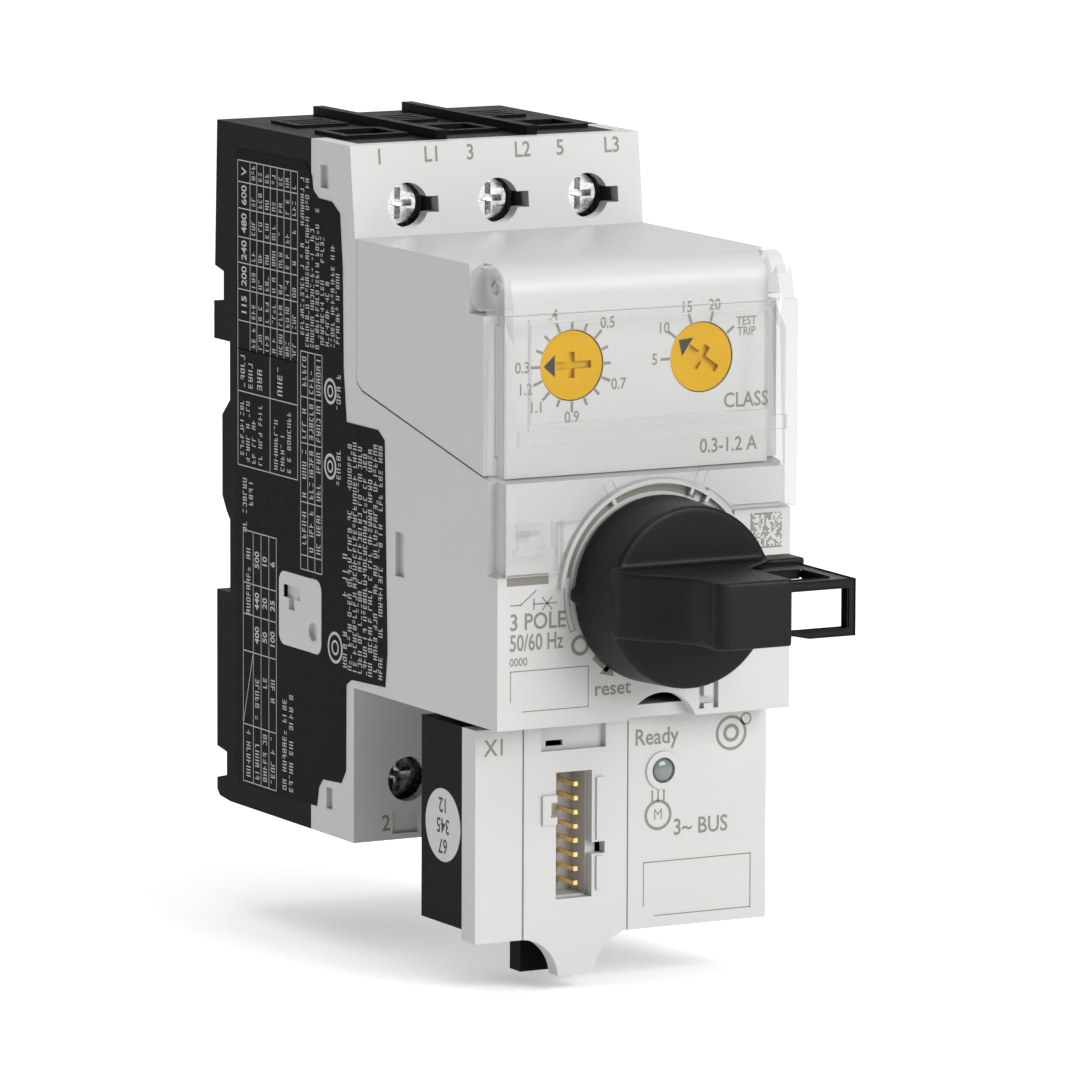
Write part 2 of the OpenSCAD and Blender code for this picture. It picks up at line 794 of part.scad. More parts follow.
// Clear hinged cover: front plate, side skirts, ears with pins, arch round the handle.
module clear_cover() {
  cover_x = body_w / 2;
  inner_y = cover_y + cover_t;
  arch_r = 15.1;
  color([0.85, 0.90, 0.92, 0.4])
  difference() {
    union() {
      difference() {
        union() {
          box([-cover_x, cover_y, 2], [cover_x, inner_y, 30]);
          box([-cover_x, cover_y, -5], [-13.2, inner_y, 2 + eps]);
          for (s = [-1, 1]) {
            x0 = s > 0 ? cover_x - 1.2 : -cover_x;
            side_slab(x0, x0 + 1.2, [[cover_y, 30], [hinge_y - 2, 29.2], [-75.7, 26], [-76.7, 7.4],
                      [-76.7, s > 0 ? 2 : -5], [cover_y, s > 0 ? 2 : -5]]);
          }
          // Raised field over the dials, and the ridge under it
          box([-18.8, cover_y - 0.5, 14.4], [18.8, cover_y + eps, 29.4]);
          box([-20.4, cover_y - 0.9, 12.6], [20.4, cover_y + eps, 14.5]);
          // Seal lug at the lower left
          box([-21, cover_y - 0.9, -2.2], [-14.6, cover_y + eps, -1.2]);
          box([-20.4, cover_y - 0.6, -1.3], [-15.2, cover_y + eps, 2.4]);
        }
        ycyl(knob_x, knob_z, arch_r, cover_y - 1, -75);
        // Hollow behind the raised field, and the slot of the seal lug
        box([-18, cover_y + 0.4, 15.2], [18, inner_y + 1, 28.6]);
        box([-19.2, cover_y - 2, 0.5], [-17.2, inner_y + 1, 1.1]);
      }
      // Small teeth over the arch
      for (a = [-29, 22])
        translate([knob_x, 0, knob_z]) rotate([0, a, 0])
          box([-0.7, cover_y - 0.5, arch_r + 0.1], [0.7, inner_y, arch_r + 2]);
      // Ears and their pins
      for (s = [-1, 1]) {
        x0 = s > 0 ? panel_x + 0.2 : -cover_x;
        x1 = s > 0 ? cover_x : -panel_x - 0.2;
        xcyl(hinge_y, hinge_z, ear_r, x0, x1);
        side_slab(x0, x1, [[hinge_y - ear_r, hinge_z], [hinge_y - 4.4, hinge_z + 1.4],
                  [cover_y + 0.9, hinge_z - 3], [cover_y, 26], [inner_y + 0.1, 26],
                  [hinge_y - 1.4, hinge_z - 2.6]]);
        xcyl(hinge_y, hinge_z, 0.95, s > 0 ? panel_x - 1.6 : x1 - eps, s > 0 ? x0 + eps : 1.6 - panel_x);
      }
    }
  }
}

// ---------- communication module ----------

// Tongue under the module, with a concave fillet on both sides.
module tongue(y0, y1) {
  difference() {
    box([-15.5, y0, -61], [0, y1, mod_low_z + eps]);
    translate([-15.5, y0 - 1, -61.4]) rotate([-90, 0, 0]) cylinder(h = y1 - y0 + 2, r = 5.8, $fn = 64);
    translate([1.6, y0 - 1, -61.4]) rotate([-90, 0, 0]) cylinder(h = y1 - y0 + 2, r = 5.8, $fn = 64);
  }
}

module module_front_shell() {
  color([0.80, 0.80, 0.79])
  difference() {
    union() {
      box([-side_x, mod_front_y, mod_low_z], [side_x, seam_y, mod_top_z]);
      tongue(mod_front_y, -70.4);
      // Key ribs beside the connector slot and the ring round the lens
      box([-12.3, mod_front_y - 0.4, -40.2], [slot_x0 + eps, mod_front_y + eps, -36.2]);
      box([slot_x1 + 0.6, mod_front_y - 0.35, -42.8], [slot_x1 + 1.6, mod_front_y + eps, -34.2]);
      box([slot_x1 + 0.6, mod_front_y - 0.35, -49.6], [slot_x1 + 1.6, mod_front_y + eps, -45]);
      ycyl(led_x, led_z, 2.6, mod_front_y - 0.3, mod_front_y + eps);
    }
    box([-side_x + 1.5, mod_front_y + 1.5, mod_low_z + 1.5], [side_x - 1.5, seam_y + 1, mod_top_z - 1.5]);
    // Slot of the plug connector with its keys
    box([slot_x0, mod_front_y - 1, slot_z0], [slot_x1, mod_front_y + 2, slot_z1]);
    box([slot_x0 - 1, mod_front_y - 1, -39.2], [slot_x0 + 1, mod_front_y + 2, -37.2]);
    box([slot_x1 - 1, mod_front_y - 1, -44.7], [slot_x1 + 2, mod_front_y + 2, -43.1]);
    // Recess above the connector, with a slit at its left
    box([-12.4, mod_front_y - 1, -30.2], [-2.5, mod_front_y + 1, mod_top_z + 1]);
    box([-11.2, mod_front_y - 1, -29.7], [-8.6, mod_front_y + 2, -28.9]);
    // Seam and left panel step
    box([0.8, mod_front_y - 1, mod_low_z - 1], [1, mod_front_y + 0.3, mod_top_z + 1]);
    box([-15.3, mod_front_y - 1, mod_low_z - 1], [-15, mod_front_y + 0.3, mod_top_z + 1]);
    ycyl(led_x, led_z, 1.75, mod_front_y - 1, mod_front_y + 3);
  }
}

module module_rear_shell() {
  color([0.10, 0.10, 0.10])
  difference() {
    union() {
      box([-side_x + 0.1, seam_y + gap, -54.2], [side_x - 0.1, mod_back_y, mod_top_z]);
      for (s = [-1, 1]) {
        box([s * 15 - 3, -68, mod_top_z - eps], [s * 15 + 3, -65, -23]);
        box([s * 15 - 3, -68.8, -24], [s * 15 + 3, -65, -23]);
      }
    }
    box([-side_x + 1.7, seam_y - 1, -52.6], [side_x - 1.7, mod_back_y - 1.5, mod_top_z - 1.6]);
    // Opening of the latch
    box([-12.6, -67.3, -58], [-1.4, -63.9, -50]);
  }
}

module module_latch() {
  color([0.09, 0.09, 0.09])
  union() {
    box([-12.3, -67.1, -61.2], [-1.7, -64.1, -57]);
    box([-10, -66.8, -57.1], [-4, -64.4, -53.4]);
    box([-12, -66.8, -54.2], [-2, -64.4, -53.2]);
  }
}

module module_board() {
  color([0.12, 0.36, 0.20])
  union() {
    box([-20, -66, -49.6], [20, -64.5, -29.5]);
    box([8, -64.6, -46], [15, -62.9, -39]);
    box([-2, -64.6, -36], [3, -63.1, -31]);
  }
}

module connector_insert() {
  color([0.78, 0.78, 0.77])
  difference() {
    box([slot_x0 - 1.3, mod_front_y + 1.6, slot_z0 - 1.3], [slot_x1 + 1.3, -66.2, slot_z1 + 1.3]);
    box([slot_x0 + 0.2, mod_front_y + 1, slot_z0 + 0.2], [slot_x1 - 0.2, -67.3, slot_z1 - 0.2]);
  }
}

module connector_pins() {
  color([0.85, 0.68, 0.30])
  for (i = [0:7])
    box([pin_x - 0.3, mod_front_y + 0.7, pin_z0 + pin_pitch * i - 0.3],
        [pin_x + 0.3, -65.4, pin_z0 + pin_pitch * i + 0.3]);
}

module status_lens() {
  color([0.85, 0.87, 0.85])
  union() {
    ycyl(led_x, led_z, 1.6, mod_front_y + 0.2, mod_front_y + 2);
    ycyl(led_x, led_z, 2.3, mod_front_y + 1.6, mod_front_y + 3);
  }
}

base_housing();
top_insert();
front_housing();
load_hood();
side_label();
side_port();
rail_latch();
rail_latch_spring();
line_busbars();
load_busbars();
line_clamps();
load_clamps();
line_screw(0);  // line_screw_1
line_screw(1);  // line_screw_2
line_screw(2);  // line_screw_3
load_screw(0);  // load_screw_1
load_screw(1);  // load_screw_2
load_screw(2);  // load_screw_3
arc_chutes();
contact_carrier();
moving_contacts();
contact_springs();
current_transformers();
mechanism_frame();
knob();
knob_shaft();
lock_slide();
trip_block_housing();
trip_panel();
current_dial();
class_dial();
setting_potentiometers();
trip_circuit_board();
trip_magnet_frame();
trip_magnet_coil();
trip_plunger();
trip_block_plug();
clear_cover();
module_front_shell();
module_rear_shell();
module_latch();
module_board();
connector_insert();
connector_pins();
status_lens();
housing_screws();
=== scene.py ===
# Looks of the motor protection breaker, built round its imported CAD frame.
# Lengths are in metres, and in millimetres where a name or comment says so.
import json
import math
import random

import bmesh
import bpy
from mathutils import Matrix, Vector


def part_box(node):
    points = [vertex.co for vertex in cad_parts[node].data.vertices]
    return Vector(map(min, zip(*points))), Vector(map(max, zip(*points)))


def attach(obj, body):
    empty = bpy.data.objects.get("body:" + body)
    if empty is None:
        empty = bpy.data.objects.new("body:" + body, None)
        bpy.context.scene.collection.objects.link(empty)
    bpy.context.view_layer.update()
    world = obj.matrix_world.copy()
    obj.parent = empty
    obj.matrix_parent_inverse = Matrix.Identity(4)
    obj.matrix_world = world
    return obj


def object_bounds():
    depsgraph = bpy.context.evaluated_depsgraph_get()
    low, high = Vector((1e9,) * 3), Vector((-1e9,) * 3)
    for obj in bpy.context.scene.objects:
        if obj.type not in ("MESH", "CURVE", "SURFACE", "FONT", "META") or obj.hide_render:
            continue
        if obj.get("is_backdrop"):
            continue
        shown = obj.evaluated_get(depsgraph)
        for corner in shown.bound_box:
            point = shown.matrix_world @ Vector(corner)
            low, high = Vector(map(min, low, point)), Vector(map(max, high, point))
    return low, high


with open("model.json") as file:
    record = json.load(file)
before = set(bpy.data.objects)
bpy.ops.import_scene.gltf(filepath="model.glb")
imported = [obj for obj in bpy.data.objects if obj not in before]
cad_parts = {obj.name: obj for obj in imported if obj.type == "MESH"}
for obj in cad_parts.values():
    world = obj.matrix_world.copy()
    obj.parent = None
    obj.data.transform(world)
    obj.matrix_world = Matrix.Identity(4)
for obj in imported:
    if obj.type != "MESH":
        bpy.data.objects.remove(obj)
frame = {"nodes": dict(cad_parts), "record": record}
lo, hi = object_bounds()
MM = 0.001


def mm(*values):
    return [v * MM for v in values]


def add_object(name, data):
    obj = bpy.data.objects.new(name, data)
    bpy.context.collection.objects.link(obj)
    return obj


# ---------- camera ----------

def add_camera():
    """Long lens from the operator's left, a little above the handle."""
    data = bpy.data.cameras.new("camera")
    data.sensor_width = 36
    data.lens = 317.25
    data.clip_start = 0.05
    data.clip_end = 50
    cam = add_object("camera", data)
    target, distance = Vector(mm(5.085, -40, -6.767)), 1.3077
    azimuth, elevation, roll = (math.radians(a) for a in (-28.53, 8.30, 0.21))
    away = Vector((math.sin(azimuth) * math.cos(elevation),
                   -math.cos(azimuth) * math.cos(elevation), math.sin(elevation)))
    look = (-away).to_track_quat("-Z", "Y").to_matrix().to_4x4()
    tilt = Matrix.Rotation(roll, 4, "Z")
    cam.matrix_world = Matrix.Translation(target + away * distance) @ look @ tilt
    bpy.context.scene.camera = cam


add_camera()


# ---------- materials ----------

def new_material(name):
    mat = bpy.data.materials.new(name)
    mat.use_nodes = True
    tree = mat.node_tree
    shader = tree.nodes["Principled BSDF"]
    return mat, tree, shader


def noise(tree, scale, detail=4, rough=0.55):
    """A noise texture over the object's own coordinates, in metres."""
    coords = tree.nodes.new("ShaderNodeTexCoord")
    node = tree.nodes.new("ShaderNodeTexNoise")
    node.inputs["Scale"].default_value = scale
    node.inputs["Detail"].default_value = detail
    node.inputs["Roughness"].default_value = rough
    tree.links.new(coords.outputs["Object"], node.inputs["Vector"])
    return node


def ramp(tree, source, low, high, start=0.3, end=0.7):
    """Colour ramp between two greys or colours."""
    node = tree.nodes.new("ShaderNodeValToRGB")
    node.color_ramp.elements[0].position = start
    node.color_ramp.elements[1].position = end
    node.color_ramp.elements[0].color = (*low, 1)
    node.color_ramp.elements[1].color = (*high, 1)
    tree.links.new(source, node.inputs["Fac"])
    return node


def grey(v):
    return (v, v, v)


def shade(color, k):
    return tuple(min(1, c * k) for c in color)


def add_bump(tree, shader, source, strength, depth):
    """Dent the surface by a texture, to a depth in metres."""
    dent = tree.nodes.new("ShaderNodeBump")
    dent.inputs["Strength"].default_value = strength
    dent.inputs["Distance"].default_value = depth
    tree.links.new(source, dent.inputs["Height"])
    tree.links.new(dent.outputs["Normal"], shader.inputs["Normal"])


def plastic(name, color, rough, spread, grain=2600, bump=0.1, specular=0.5):
    """Moulded plastic: fine spark grain, slight colour and gloss variation."""
    mat, tree, shader = new_material(name)
    soft = noise(tree, 60, 3)
    tone = ramp(tree, soft.outputs["Fac"], shade(color, 1 - spread), shade(color, 1 + spread))
    tree.links.new(tone.outputs["Color"], shader.inputs["Base Color"])
    fine = noise(tree, grain, 3, 0.6)
    gloss = ramp(tree, fine.outputs["Fac"], grey(rough - 0.05), grey(rough + 0.06))
    tree.links.new(gloss.outputs["Color"], shader.inputs["Roughness"])
    add_bump(tree, shader, fine.outputs["Fac"], bump, 0.02 * MM)
    shader.inputs["Specular IOR Level"].default_value = specular
    return mat


def metal(name, color, rough):
    """Plated or bare metal with a faint grain."""
    mat, tree, shader = new_material(name)
    soft = noise(tree, 300, 4)
    tone = ramp(tree, soft.outputs["Fac"], shade(color, 0.88), shade(color, 1.06))
    tree.links.new(tone.outputs["Color"], shader.inputs["Base Color"])
    shader.inputs["Metallic"].default_value = 1
    fine = noise(tree, 1800, 4)
    gloss = ramp(tree, fine.outputs["Fac"], grey(rough - 0.08), grey(rough + 0.12))
    tree.links.new(gloss.outputs["Color"], shader.inputs["Roughness"])
    add_bump(tree, shader, fine.outputs["Fac"], 0.08, 0.03 * MM)
    return mat


def clear(name, painted_reflection_face_on, painted_reflection_grazing):
    """Clear moulded plastic: nearly invisible face on, with a grey veil that thickens where it turns
    away; the veil is a painted reflection, standing in for the light the clear wall reflects at grazing
    angles.
    """
    mat, tree, shader = new_material(name)
    shader.inputs["Base Color"].default_value = (0.50, 0.515, 0.52, 1)
    shader.inputs["Specular IOR Level"].default_value = 0.7
    # Painted reflection: the grey base grows more opaque as the surface turns away from the view
    facing = tree.nodes.new("ShaderNodeLayerWeight")
    facing.inputs["Blend"].default_value = 0.5
    painted_reflection = ramp(tree, facing.outputs["Facing"], grey(painted_reflection_face_on), grey(painted_reflection_grazing), start=0.2, end=0.85)
    tree.links.new(painted_reflection.outputs["Color"], shader.inputs["Alpha"])
    fine = noise(tree, 400, 3)
    gloss = ramp(tree, fine.outputs["Fac"], grey(0.05), grey(0.12))
    tree.links.new(gloss.outputs["Color"], shader.inputs["Roughness"])
    return mat


MATERIALS = {
    "grey_plastic": plastic("grey_plastic", (0.46, 0.46, 0.453), 0.42, 0.012,
                            bump=0.12, specular=0.4),
    "black_plastic": plastic("black_plastic", (0.0052, 0.0046, 0.0052), 0.5, 0.2,
                             bump=0.25, specular=0.04),
    "label_black": plastic("label_black", (0.0015, 0.0015, 0.0018), 0.3, 0.1,
                           grain=700, bump=0.02, specular=0.02),
    "latch_grey": plastic("latch_grey", (0.42, 0.42, 0.40), 0.45, 0.04),
    "spring_steel": metal("spring_steel", (0.62, 0.62, 0.63), 0.25),
    "copper": metal("copper", (0.78, 0.40, 0.22), 0.28),
    "zinc_steel": metal("zinc_steel", (0.60, 0.61, 0.61), 0.24),
    "chute_grey": plastic("chute_grey", (0.33, 0.30, 0.27), 0.6, 0.1),
    "carrier_brown": plastic("carrier_brown", (0.10, 0.07, 0.05), 0.5, 0.15),
    "silver_contact": metal("silver_contact", (0.80, 0.72, 0.62), 0.3),
    "winding": plastic("winding", (0.30, 0.11, 0.04), 0.3, 0.2, grain=900, bump=0.3),
    "knob_black": plastic("knob_black", (0.0055, 0.0055, 0.0068), 0.42, 0.15,
                          bump=0.3, specular=0.16),
    "dial_yellow": plastic("dial_yellow", (0.52, 0.29, 0.001), 0.45, 0.03, specular=0.1),
    "pot_blue": plastic("pot_blue", (0.05, 0.09, 0.22), 0.4, 0.1),
    "board_green": plastic("board_green", (0.02, 0.14, 0.05), 0.35, 0.15, grain=500),
    "clear_plastic": clear("clear_plastic", 0.02, 0.7),
    "pin_gold": metal("pin_gold", (0.85, 0.55, 0.20), 0.22),
    "lens_white": plastic("lens_white", (0.35, 0.37, 0.35), 0.2, 0.02, bump=0.02),
}


def ink_material(name, color, spread):
    return plastic(name, color, 0.5, spread, grain=4000, bump=0.05, specular=0.3)


INK_TAUPE = ink_material("ink_taupe", (0.19, 0.18, 0.155), 0.05)
INK_DARK = ink_material("ink_dark", (0.02, 0.02, 0.02), 0.1)
INK_WHITE = ink_material("ink_white", (0.42, 0.43, 0.45), 0.03)
# Painted reflection for the clear cover's rounded edges: a grey veil, more opaque than on its faces
CLEAR_EDGE_PAINTED_REFLECTION = clear("clear_edge_painted_reflection", 0.55, 0.95)
LENS = plastic("lens_smoke", (0.16, 0.18, 0.165), 0.15, 0.05, grain=900, bump=0.02, specular=0.6)


# ---------- edges of the CAD nodes ----------

# Rounding of each node's edges; nodes left out keep theirs sharp
EDGE_MM = {
    "base_housing": 0.35, "top_insert": 0.2, "front_housing": 0.8, "load_hood": 0.3, "rail_latch": 0.3,
    "side_port": 0.3, "setting_potentiometers": 0.2, "housing_screws": 0.1,
    "trip_block_housing": 0.45, "trip_panel": 0.15, "module_front_shell": 0.5,
    "module_rear_shell": 0.4, "module_latch": 0.3, "connector_insert": 0.15,
    "lock_slide": 0.45, "clear_cover": 0.18, "connector_pins": 0.1, "current_dial": 0.15,
    "class_dial": 0.15, "contact_carrier": 0.3,
}
KNOB_VOXEL_MM, KNOB_PASSES = 0.25, 18
SLIDE_FIT_MM = 0.2


def round_edges(obj, width_mm):
    """Merge flat facets, round the sharp edges and smooth the shading."""
    flat = obj.modifiers.new("flat", "DECIMATE")
    flat.decimate_type = "DISSOLVE"
    flat.angle_limit = math.radians(0.6)
    bevel = obj.modifiers.new("edge", "BEVEL")
    bevel.width = width_mm * MM
    bevel.segments = 3
    bevel.limit_method = "ANGLE"
    bevel.angle_limit = math.radians(35)
    normals = obj.modifiers.new("normals", "WEIGHTED_NORMAL")
    normals.weight = 60


def soften(obj, voxel_mm, passes):
    """Blend every edge of a moulded part: a fine remesh, then even smoothing."""
    remesh = obj.modifiers.new("remesh", "REMESH")
    remesh.mode = "VOXEL"
    remesh.voxel_size = voxel_mm * MM
    remesh.use_smooth_shade = True
    blend = obj.modifiers.new("blend", "SMOOTH")
    blend.factor = 0.5
    blend.iterations = passes


def dress_cad_nodes():
    slots = {s["node"]: s["material_slot"] for s in frame["record"]["subparts"]}
    for node, obj in frame["nodes"].items():
        obj.data.materials.clear()
        obj.data.materials.append(MATERIALS[slots[node]])
        if node in EDGE_MM:
            round_edges(obj, EDGE_MM[node])
    soften(frame["nodes"]["knob"], KNOB_VOXEL_MM, KNOB_PASSES)
    # Smoothing makes the grip's pocket tighter, so the slide is taken in a little
    fit = frame["nodes"]["lock_slide"].modifiers.new("fit", "DISPLACE")
    fit.mid_level = 0
    fit.strength = -SLIDE_FIT_MM * MM
    # The clear cover's rounded edges get a greyer, more opaque veil than its faces: painted reflection,
    # standing in for the light and shade the edges bend and reflect
    cover = frame["nodes"]["clear_cover"]
    cover.data.materials.append(CLEAR_EDGE_PAINTED_REFLECTION)
    cover.modifiers["edge"].material = len(cover.data.materials) - 1


dress_cad_nodes()


# ---------- printing ----------

# The printing stands this far proud of its surface and reaches this far into it, in millimetres
INK_PROUD, INK_SUNK = 0.008, 0.012
# Height of a capital as a share of the font's size
CAPITAL = 0.7


class Ink:
    """Thin printing on one plane, drawn in millimetres as one closed mesh."""

    def __init__(self, name, origin, right, up):
        self.name = name
        right, up = Vector(right).normalized(), Vector(up).normalized()
        out = right.cross(up)
        self.place = Matrix((right, up, out)).transposed().to_4x4()
        self.place.translation = Vector(origin)
        self.bm = bmesh.new()

    def shape(self, points):
        self.bm.faces.new([self.bm.verts.new((u, v, 0)) for u, v in points])

    def rect(self, u0, u1, v0, v1):
        self.shape([(u0, v0), (u1, v0), (u1, v1), (u0, v1)])

    def line(self, u0, v0, u1, v1, width=0.18):
        along = Vector((u1 - u0, v1 - v0)).normalized() * width / 2
        n = Vector((-along.y, along.x))
        a, b = Vector((u0, v0)), Vector((u1, v1))
        self.shape([a - n - along, b - n + along, b + n + along, a + n - along])

    def arc(self, u, v, r0, r1, a0, a1, count=None):
        """Ring sector between two angles in degrees, counted clockwise from 9 o'clock."""
        count = count or max(4, int(abs(a1 - a0) / 5))
        turn = [math.radians(180 - a0 - (a1 - a0) * i / count) for i in range(count + 1)]
        outer = [(u + r1 * math.cos(t), v + r1 * math.sin(t)) for t in turn]
        inner = [(u + r0 * math.cos(t), v + r0 * math.sin(t)) for t in turn]
        for i in range(count):
            self.shape([outer[i], outer[i + 1], inner[i + 1], inner[i]])

    def ring(self, u, v, r, width):
        self.arc(u, v, r - width / 2, r + width / 2, 0, 360, 40)

    def text(self, words, u, v, height, turn=0, align="CENTER", narrow=0.88, weight=0.022):
        """Plain characters of a given capital height."""
        curve = bpy.data.curves.new("words", "FONT")
        curve.body = words
        curve.size = height / CAPITAL
        curve.offset = height * weight
        curve.align_x = align
        curve.align_y = "CENTER"
        curve.resolution_u = 3
        obj = add_object("words", curve)
        bpy.context.view_layer.update()
        shown = obj.evaluated_get(bpy.context.evaluated_depsgraph_get())
        mesh = bpy.data.meshes.new_from_object(shown)
        spin = Matrix.Rotation(math.radians(turn), 4, "Z") @ Matrix.Scale(narrow, 4, (1, 0, 0))
        mesh.transform(Matrix.Translation((u, v, 0)) @ spin)
        self.bm.from_mesh(mesh)
        bpy.data.objects.remove(obj)
        bpy.data.curves.remove(curve)
        bpy.data.meshes.remove(mesh)

    def fake_text(self, u, v, length, height, rng):
        """A line of letter-like strokes that spell nothing, reading upwards from its start."""
        spin = Matrix.Rotation(math.radians(90), 2)
        pitch = height * 0.72
        pen = 0.14  # Stroke width; this and the strokes below are shares of the height
        at = 0
        while at < length:
            if rng.random() < 0.16:
                at += pitch
                continue
            strokes = [(0.05, 0, 0.05 + pen, 1)] if rng.random() < 0.75 else []
            for level in (0, 0.5, 1):
                if rng.random() < 0.5:
                    y = level * (1 - pen)
                    strokes.append((0.08, y, 0.5, y + pen))
            if rng.random() < 0.45 or not strokes:
                strokes.append((0.42, 0, 0.42 + pen, 1))
            for x0, y0, x1, y1 in strokes:
                corners = [(x0, y0), (x1, y0), (x1, y1), (x0, y1)]
                flat = [spin @ Vector((at + x * height, (y - 0.5) * height)) for x, y in corners]
                self.shape([(u + p.x, v + p.y) for p in flat])
            at += pitch

    def build(self, material, body="housing"):
        """Thicken the printing, put it in its place and let it ride on a body."""
        bmesh.ops.remove_doubles(self.bm, verts=self.bm.verts, dist=0.0005)
        self.bm.normal_update()
        solid = bmesh.new()
        top = {v: solid.verts.new((v.co.x, v.co.y, INK_PROUD)) for v in self.bm.verts}
        foot = {v: solid.verts.new((v.co.x, v.co.y, -INK_SUNK)) for v in self.bm.verts}
        for face in self.bm.faces:
            if face.calc_area() < 1e-6:
                continue
            if face.normal.z < 0:
                face.normal_flip()
            solid.faces.new([top[v] for v in face.verts])
            solid.faces.new([foot[v] for v in reversed(face.verts)])
            for loop in face.loops:
                if len(loop.edge.link_faces) == 1:
                    one, two = loop.vert, loop.link_loop_next.vert
                    solid.faces.new((foot[one], foot[two], top[two], top[one]))
        loose = [v for v in solid.verts if not v.link_faces]
        bmesh.ops.delete(solid, geom=loose, context="VERTS")
        mesh = bpy.data.meshes.new(self.name)
        solid.transform(Matrix.Scale(MM, 4) @ self.place)
        solid.to_mesh(mesh)
        solid.free()
        self.bm.free()
        mesh.materials.append(material)
        obj = add_object(self.name, mesh)
        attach(obj, body)
        return obj


def front_ink(name, y):
    """Printing on a plane that faces the operator; u is X and v is Z."""
    return Ink(name, (0, y, 0), (1, 0, 0), (0, 0, 1))


def side_ink(name, x):
    """Printing on a plane that faces left; u runs forwards and v is Z."""
    return Ink(name, (x, 0, 0), (0, -1, 0), (0, 0, 1))


def low(node, axis):
    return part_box(node)[0][axis] / MM


def high(node, axis):
    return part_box(node)[1][axis] / MM


def middle(node, axis):
    return (low(node, axis) + high(node, axis)) / 2


# Places that the printing is set out from, in millimetres
POLES = [middle(f"line_screw_{i}", 0) for i in (1, 2, 3)]
KNOB = (middle("knob_shaft", 0), -8.0)
DIALS = [(middle(n, 0), middle(n, 2)) for n in ("current_dial", "class_dial")]
FRONT_Y = -79.1
PANEL_Y = -76.6
SIDE_X = low("side_label", 0)
# The class dial's setting, in degrees clockwise from 9 o'clock
CLASS_CLOCK = 35.5


def print_terminals():
    """Terminal numbers on the sloping line-side front and beside a load screw."""
    ink = Ink("terminal_marks", (0, -36.4, high("front_housing", 2)), (1, 0, 0), (0, 1.5, 12.5))
    row, height = -1.75, 2.1
    for i, x in enumerate(POLES):
        ink.text(str(2 * i + 1), x - 4.0, row, height)
        ink.text(f"L{i + 1}", x + 4.1, row, height)
    ink.build(INK_TAUPE)
    mark = front_ink("load_mark", low("load_hood", 1))
    mark.text("2", POLES[0] - 3.4, -45.1, 2.2)
    mark.build(INK_TAUPE)


def polar(cx, cz, r, clock):
    """Point at radius r, with the angle in degrees clockwise from 9 o'clock."""
    t = math.radians(180 - clock)
    return cx + r * math.cos(t), cz + r * math.sin(t)


def tick(ink, centre, r0, r1, clock, width):
    ink.line(*polar(*centre, r0, clock), *polar(*centre, r1, clock), width)


def print_dials():
    """Scales round the two setting dials, and the rating under them."""
    ink = front_ink("dial_scales", PANEL_Y)
    start, short, end, pen, height = 5.05, 5.7, 6.1, 0.4, 1.5
    scale = {0: "0.3", 3: ".4", 6: "0.5", 9: "0.7", 12: "0.9", 14: "1.1", 15: "1.2"}
    for i in range(16):
        clock = 22.5 * i
        tick(ink, DIALS[0], start, end if i in scale else short, clock, pen)
        if i in scale:
            turn = math.radians(clock)
            far = 6.3 + 1.2 * abs(math.cos(turn)) + 0.7 * abs(math.sin(turn))
            ink.text(scale[i], *polar(*DIALS[0], far, clock), height)
    for clock, words in ((0, "5"), (CLASS_CLOCK, "10"), (71, "15"), (106, "20")):
        tick(ink, DIALS[1], start, end, clock, pen)
        ink.text(words, *polar(*DIALS[1], 7.2, clock), height)
    tick(ink, DIALS[1], start, end, 142, pen)
    cx, cz = DIALS[1]
    ink.text("TEST", cx + 6.9, cz + 4.5, 1.15)
    ink.text("TRIP", cx + 6.9, cz + 3.1, 1.15)
    ink.text("CLASS", cx + 6.9, cz - 6.2, 2.0)
    ink.text("0.3-1.2 A", 14.1, 10.2, 1.9)
    ink.build(INK_TAUPE)


def print_pointers():
    """Dark arrowheads on the dial faces."""
    outline = [(-4.2, 0), (-2.5, 1.5), (-2.5, -1.5)]
    for name, (cx, cz), clock in (("current_dial", DIALS[0], 0), ("class_dial", DIALS[1], CLASS_CLOCK)):
        ink = front_ink(name + "_arrow", low(name, 1))
        cos, sin = math.cos(math.radians(-clock)), math.sin(math.radians(-clock))
        ink.shape([(cx + x * cos - z * sin, cz + x * sin + z * cos) for x, z in outline])
        ink.build(INK_DARK, name)


def open_box(ink, u0, u1, v0, v1, width):
    """Writing field whose lower left corner is left open."""
    gap_u, gap_v = 1.8, 1.4
    ink.line(u0, v1, u1, v1, width)
    ink.line(u1, v1, u1, v0, width)
    ink.line(u0 + gap_u, v0, u1, v0, width)
    ink.line(u0, v1, u0, v0 + gap_v, width)


